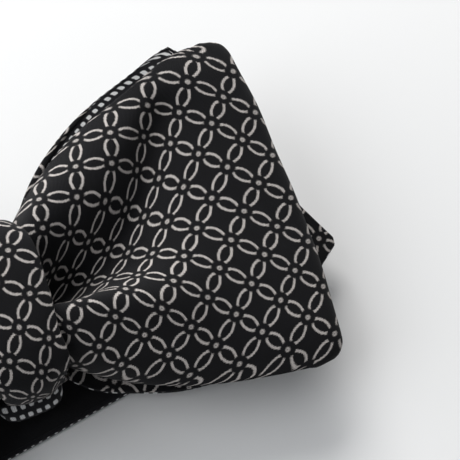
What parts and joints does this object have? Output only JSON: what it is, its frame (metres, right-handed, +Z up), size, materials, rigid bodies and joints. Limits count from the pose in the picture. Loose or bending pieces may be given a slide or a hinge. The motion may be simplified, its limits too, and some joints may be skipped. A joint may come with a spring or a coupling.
{
  "type": "bow tie",
  "caption": "Soft tied bow tie in patterned cloth, lying face up on its open neck band, with a sliding adjuster and a flip-up hook and eye.",
  "frame": {"origin": "under the knot, on the underside of the strap that the bow lies on", "axes": "+X along the bow from wing to wing, +Y towards the bow's top edge, +Z up, out of the bow's face"},
  "size_m": [0.2306, 0.074, 0.0286],
  "materials": {
    "patterned_cloth": "near-black cotton woven with a light warm-grey lattice",
    "spotted_lining": "black cotton with small off-white woven spots",
    "black_cloth": "plain black cotton, fine twill",
    "interlining": "unbleached woven interlining",
    "wadding": "soft off-white wadding",
    "thread": "black sewing thread",
    "nickel_plate": "bright nickel plate on pressed metal"
  },
  "bodies": {
    "root": {"front_bow_cover": "patterned_cloth", "front_bow_interlining": "interlining", "front_bow_lining": "spotted_lining", "rear_bow_cover": "patterned_cloth", "rear_bow_interlining": "interlining", "rear_bow_lining": "spotted_lining", "knot_cover": "patterned_cloth", "knot_interlining": "interlining", "knot_lining": "spotted_lining", "knot_padding": "wadding", "centre_tack_thread": "thread", "knot_closing_stitches": "thread", "neck_band_cover": "spotted_lining", "neck_band_interlining": "interlining", "neck_band_backing": "black_cloth", "eye_loop_tape": "black_cloth", "eye_loop_stitches": "thread", "adjuster_tape": "black_cloth", "adjuster_tape_stitches": "thread"},
    "eye": {"eye": "nickel_plate"},
    "hook_carriage": {"hook_loop_tape": "black_cloth", "sliding_tape_run": "black_cloth"},
    "hook": {"hook": "nickel_plate"},
    "slider": {"slider_frame": "nickel_plate", "slider_loop_tape": "black_cloth", "slider_loop_stitches": "thread", "return_tape_run": "black_cloth"}
  },
  "joints": [
    {"name": "hook_carriage_slide", "type": "slide", "parent": "root", "child": "hook_carriage", "axis": [-0.993, -0.1184, 0], "range_m": [-0.008, 0.028], "deforming": ["sliding_tape_run"]},
    {"name": "slider_slide", "type": "slide", "parent": "hook_carriage", "child": "slider", "axis": [-0.993, -0.1184, 0], "range_m": [-0.008, 0.028], "deforming": ["return_tape_run"]},
    {"name": "hook_flip", "type": "hinge", "parent": "hook_carriage", "child": "hook", "pos_m": [-0.12412, -0.0148, 0.00245], "axis": [-0.1184, 0.993, 0], "range_deg": [0, 110]},
    {"name": "eye_flip", "type": "hinge", "parent": "root", "child": "eye", "pos_m": [-0.14854, 0.03583, 0.00175], "axis": [0.1392, 0.9903, 0], "range_deg": [0, 110]}
  ],
  "couplings": [
    {"joint": "slider_slide", "follows": "hook_carriage_slide", "ratio": 1}
  ]
}
